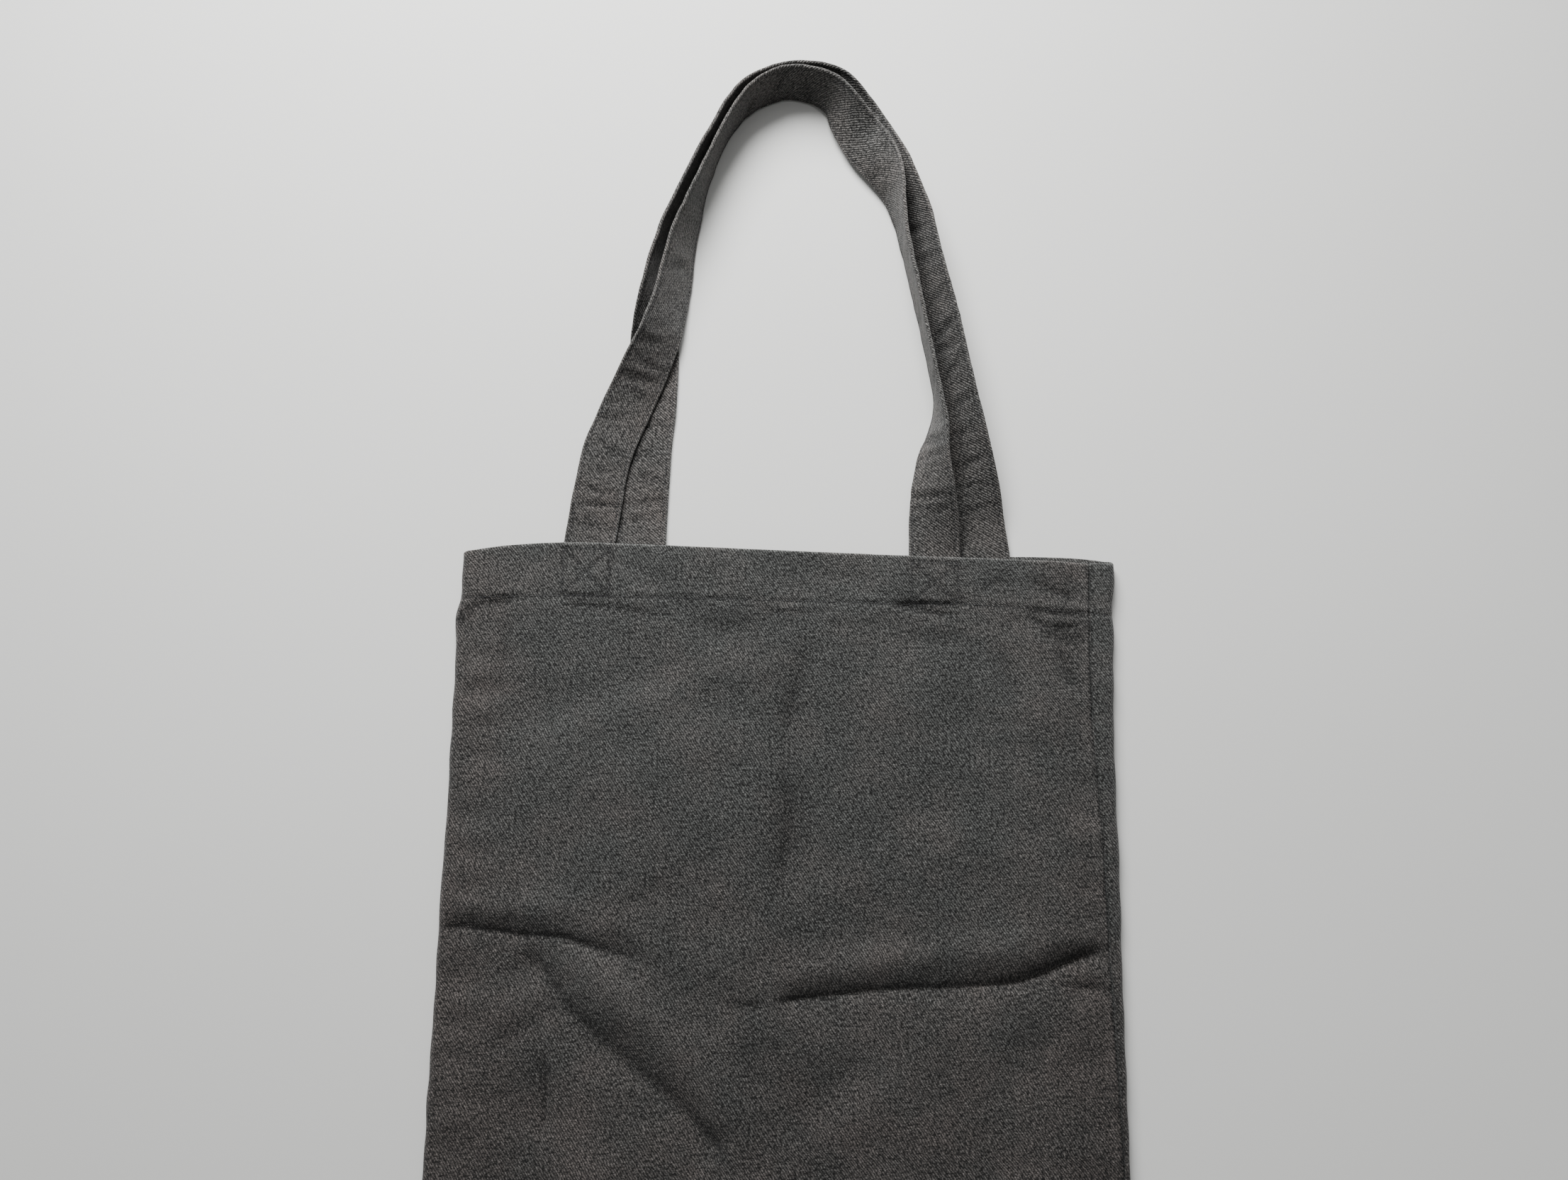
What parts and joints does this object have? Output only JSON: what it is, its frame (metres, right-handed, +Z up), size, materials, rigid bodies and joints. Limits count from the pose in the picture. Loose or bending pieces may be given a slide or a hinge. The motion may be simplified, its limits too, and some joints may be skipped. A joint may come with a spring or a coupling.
{
  "type": "canvas tote bag",
  "caption": "Charcoal cotton twill tote bag lying flat, with a stitched hem at its mouth and flat handles sewn inside with boxed crosses.",
  "frame": {"origin": "centre of the bag's underside, on the surface that it lies on", "axes": "+X across the bag to its right side, +Y from the bottom seam to the mouth and the handles, +Z up out of the front"},
  "size_m": [0.38, 0.7256, 0.0302],
  "materials": {
    "body_cloth": "washed cotton twill, charcoal, matt, paler where it is worn along folds",
    "strap_cloth": "washed cotton twill, charcoal with a slight brown cast, matt, pressed into flat straps",
    "thread": "spun polyester sewing thread, near black"
  },
  "bodies": {
    "back": {"back_panel": "body_cloth", "back_hem": "body_cloth", "back_hem_stitching": "thread", "back_strap_end_left": "strap_cloth", "back_strap_end_right": "strap_cloth", "back_box_stitch_left": "thread", "back_box_stitch_right": "thread", "left_side_seam": "body_cloth", "right_side_seam": "body_cloth", "left_seam_stitching": "thread", "right_seam_stitching": "thread", "bottom_seam": "body_cloth", "bottom_seam_stitching": "thread"},
    "front": {"front_panel": "body_cloth", "front_hem": "body_cloth", "front_hem_stitching": "thread", "front_strap_end_left": "strap_cloth", "front_strap_end_right": "strap_cloth", "front_box_stitch_left": "thread", "front_box_stitch_right": "thread"},
    "front_handle": {"front_handle": "strap_cloth", "front_handle_stitching": "thread"},
    "back_handle": {"back_handle": "strap_cloth", "back_handle_stitching": "thread"}
  },
  "joints": [
    {"name": "mouth_open", "type": "hinge", "parent": "back", "child": "front", "pos_m": [0, -0.2092, 0.0086], "axis": [1, 0, 0], "range_deg": [0, 8]},
    {"name": "front_handle_swing", "type": "hinge", "parent": "front", "child": "front_handle", "pos_m": [0, 0.212, 0.009], "axis": [1, 0, 0], "range_deg": [0, 85]},
    {"name": "back_handle_swing", "type": "hinge", "parent": "back", "child": "back_handle", "pos_m": [0, 0.212, 0.009], "axis": [1, 0, 0], "range_deg": [0, 85]}
  ],
  "couplings": [
    {"joint": "back_handle_swing", "follows": "front_handle_swing", "ratio": 1}
  ]
}
